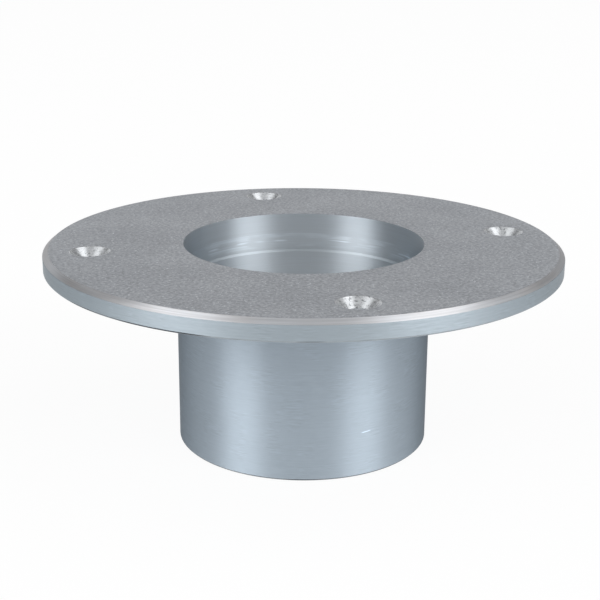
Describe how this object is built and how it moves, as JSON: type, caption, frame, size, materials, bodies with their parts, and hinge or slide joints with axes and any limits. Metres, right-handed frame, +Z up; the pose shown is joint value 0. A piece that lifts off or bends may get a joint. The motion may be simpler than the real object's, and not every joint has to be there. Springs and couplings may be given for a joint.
{
  "type": "tube base flange",
  "caption": "Round aluminium base flange with a plain tube collar below, a stepped through bore for a handrail tube and a ring of countersunk screw holes.",
  "frame": {"origin": "centre of the collar's free end, on which the flange stands", "axes": "+Z up along the bore, from the collar's free end towards the disc's top face; +X and +Y each pass through a screw hole"},
  "size_m": [0.105, 0.105, 0.0415],
  "materials": {
    "turned_aluminium": "satin, turned sides and bore, blasted top face"
  },
  "bodies": {
    "root": {"base_flange": "turned_aluminium"}
  },
  "joints": []
}
